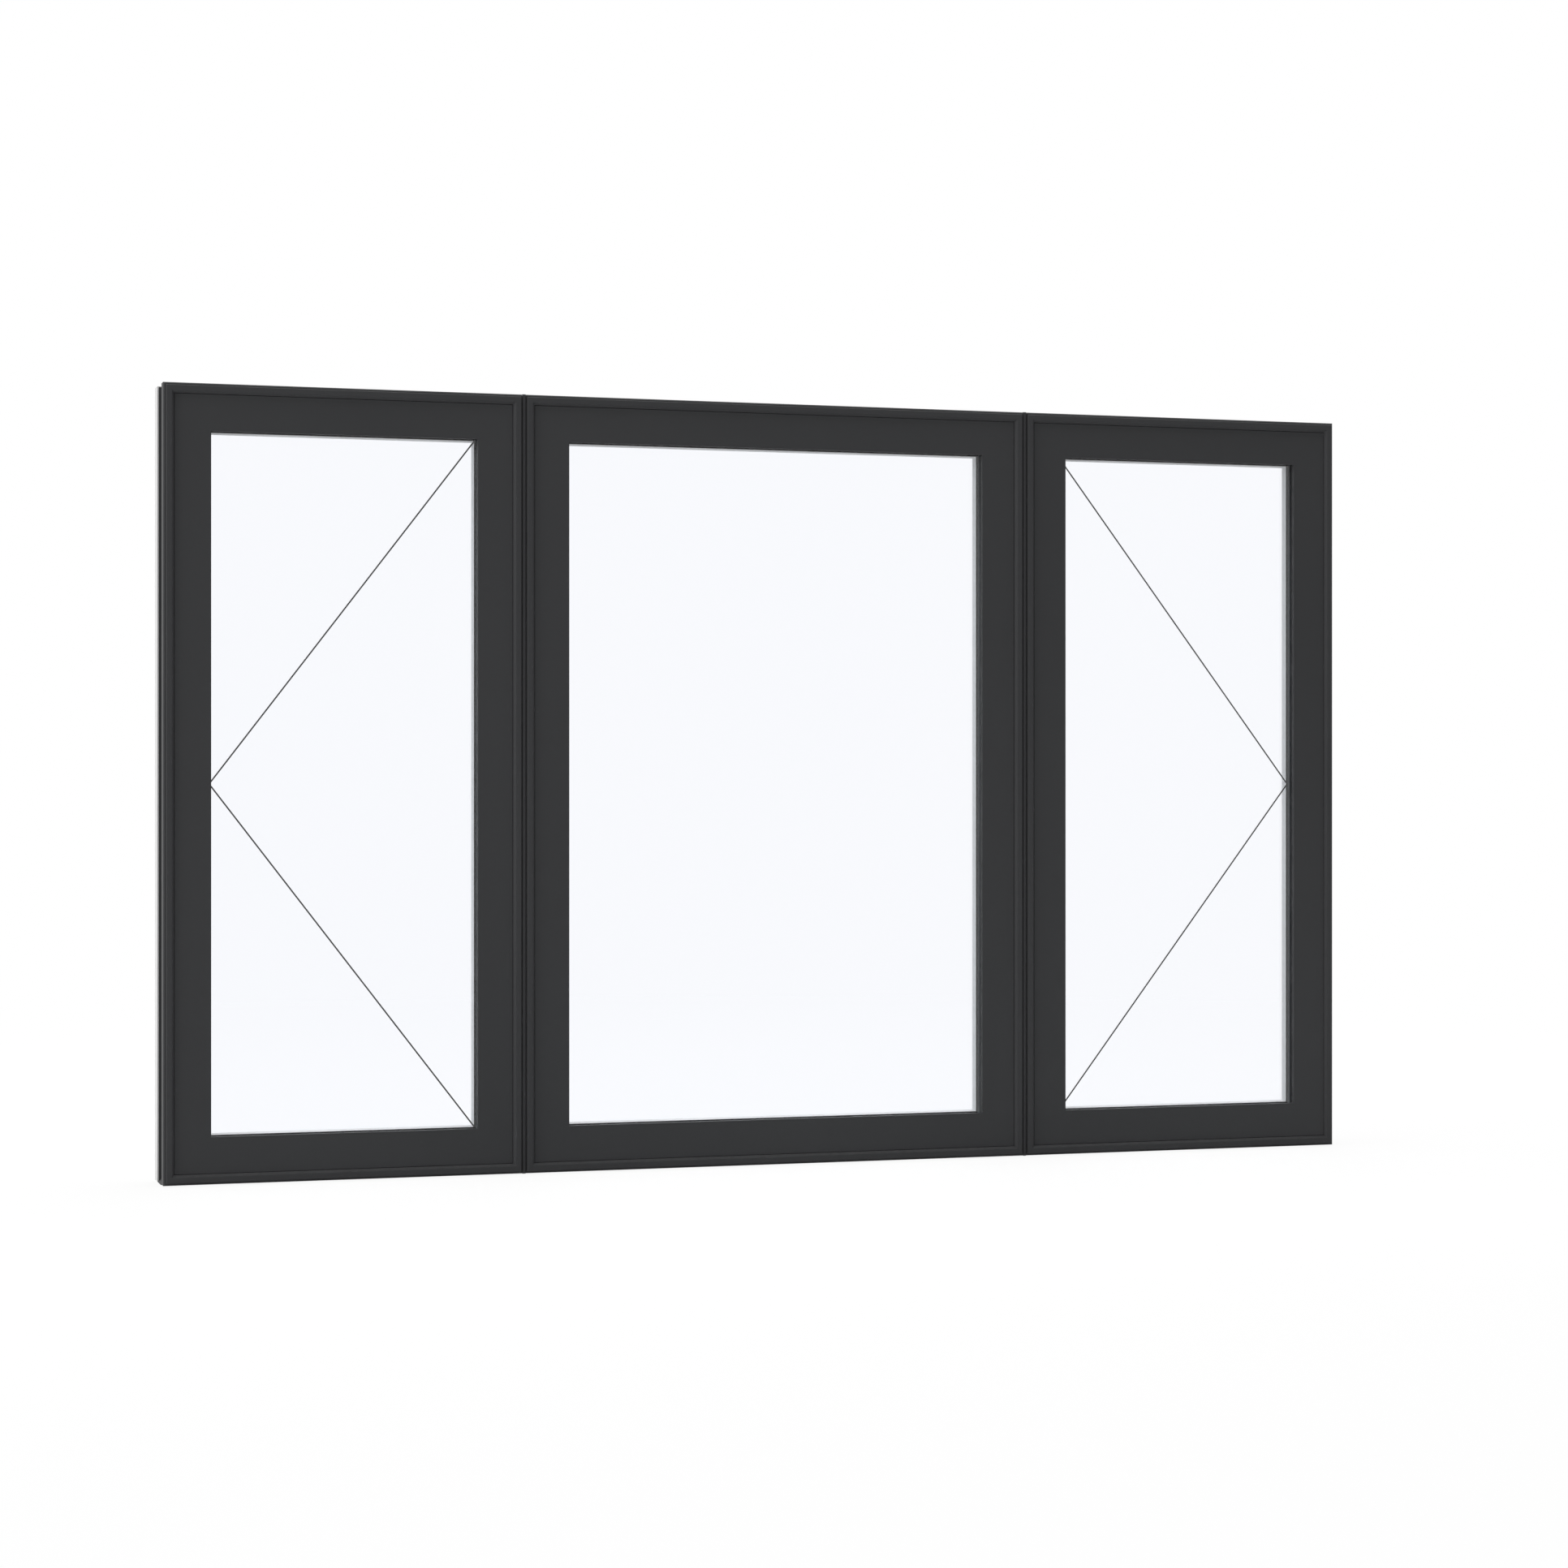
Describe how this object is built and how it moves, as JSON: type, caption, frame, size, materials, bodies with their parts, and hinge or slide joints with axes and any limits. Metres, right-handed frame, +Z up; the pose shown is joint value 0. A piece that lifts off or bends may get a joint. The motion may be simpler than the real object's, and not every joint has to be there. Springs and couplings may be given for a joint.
{
  "type": "triple casement window",
  "caption": "Rectangular window of joined units, hinged casements either side of a fixed light; dark outside, white inside, double glazed, to close a wall opening.",
  "frame": {"origin": "centre of the flat underside of the centre unit's sill, halfway through the frame's depth", "axes": "+X along the window to the right seen from outside, +Y from the weather side to the room, +Z up"},
  "size_m": [2.1, 0.141, 1.31],
  "materials": {
    "anthracite_frame": "satin powder coat",
    "anthracite_sash": "satin powder coat",
    "white_lining": "satin white",
    "white_sash": "satin white",
    "clear_glass": "clear float glass",
    "black_seal": "matt black",
    "white_hardware": "satin white enamel"
  },
  "bodies": {
    "root": {"left_frame_head": "anthracite_frame", "left_frame_sill": "anthracite_frame", "left_frame_left_jamb": "anthracite_frame", "left_frame_right_jamb": "anthracite_frame", "left_lining_rails": "white_lining", "left_lining_jambs": "white_lining", "left_sash_rails": "anthracite_sash", "left_sash_stiles": "anthracite_sash", "left_inner_sash_rails": "white_sash", "left_inner_sash_stiles": "white_sash", "left_glass_panes": "clear_glass", "left_spacer_and_gasket": "black_seal", "centre_frame_head": "anthracite_frame", "centre_frame_sill": "anthracite_frame", "centre_frame_left_jamb": "anthracite_frame", "centre_frame_right_jamb": "anthracite_frame", "centre_lining_rails": "white_lining", "centre_lining_jambs": "white_lining", "centre_sash_rails": "anthracite_sash", "centre_sash_stiles": "anthracite_sash", "centre_inner_sash_rails": "white_sash", "centre_inner_sash_stiles": "white_sash", "centre_glass_panes": "clear_glass", "centre_spacer_and_gasket": "black_seal", "right_frame_head": "anthracite_frame", "right_frame_sill": "anthracite_frame", "right_frame_left_jamb": "anthracite_frame", "right_frame_right_jamb": "anthracite_frame", "right_lining_rails": "white_lining", "right_lining_jambs": "white_lining", "right_sash_rails": "anthracite_sash", "right_sash_stiles": "anthracite_sash", "right_inner_sash_rails": "white_sash", "right_inner_sash_stiles": "white_sash", "right_glass_panes": "clear_glass", "right_spacer_and_gasket": "black_seal", "left_operator_housing": "white_hardware", "left_crank_handle": "white_hardware", "left_lock_plate": "white_hardware", "left_lock_lever": "white_hardware", "right_operator_housing": "white_hardware", "right_crank_handle": "white_hardware", "right_lock_plate": "white_hardware", "right_lock_lever": "white_hardware", "joint_strips": "anthracite_frame"}
  },
  "joints": []
}
